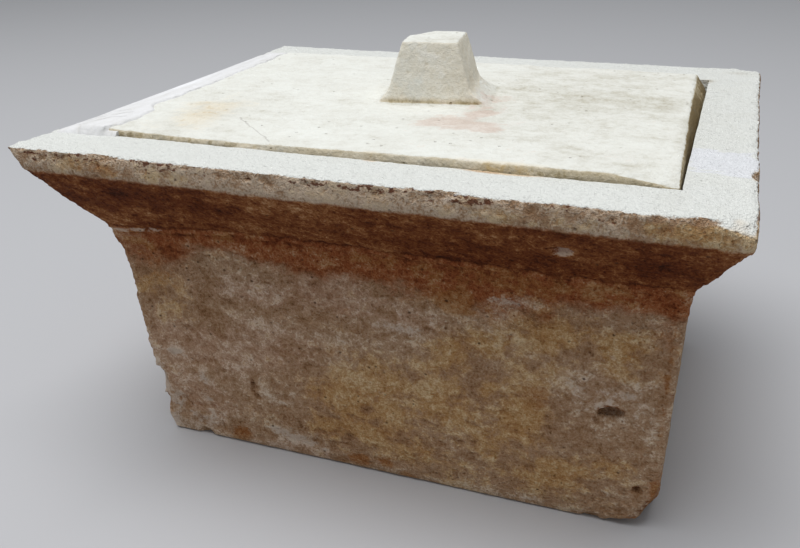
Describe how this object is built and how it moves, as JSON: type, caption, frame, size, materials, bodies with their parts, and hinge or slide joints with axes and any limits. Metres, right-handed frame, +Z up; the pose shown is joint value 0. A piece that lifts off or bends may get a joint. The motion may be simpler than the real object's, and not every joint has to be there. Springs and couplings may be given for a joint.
{
  "type": "stone cinerary urn",
  "caption": "Rectangular limestone ash chest with tapering walls, a splayed cornice rim, and a flat lift-off lid with a cut knob that lies in a rebate over the hollow.",
  "frame": {"origin": "on the underside plane, below the middle of the rim's rectangle", "axes": "+X along the long front to the right, +Y from the front to the back, +Z up"},
  "size_m": [0.46, 0.386, 0.2915],
  "materials": {
    "chest_limestone": "matt hewn limestone, pale on top, stained red-brown and ochre under the cornice, with pits, chips and white plaster fills",
    "lid_limestone": "matt creamy white limestone with faint grey streaks, buff and pinkish patches"
  },
  "bodies": {
    "root": {"urn_chest": "chest_limestone", "urn_lid": "lid_limestone"}
  },
  "joints": []
}
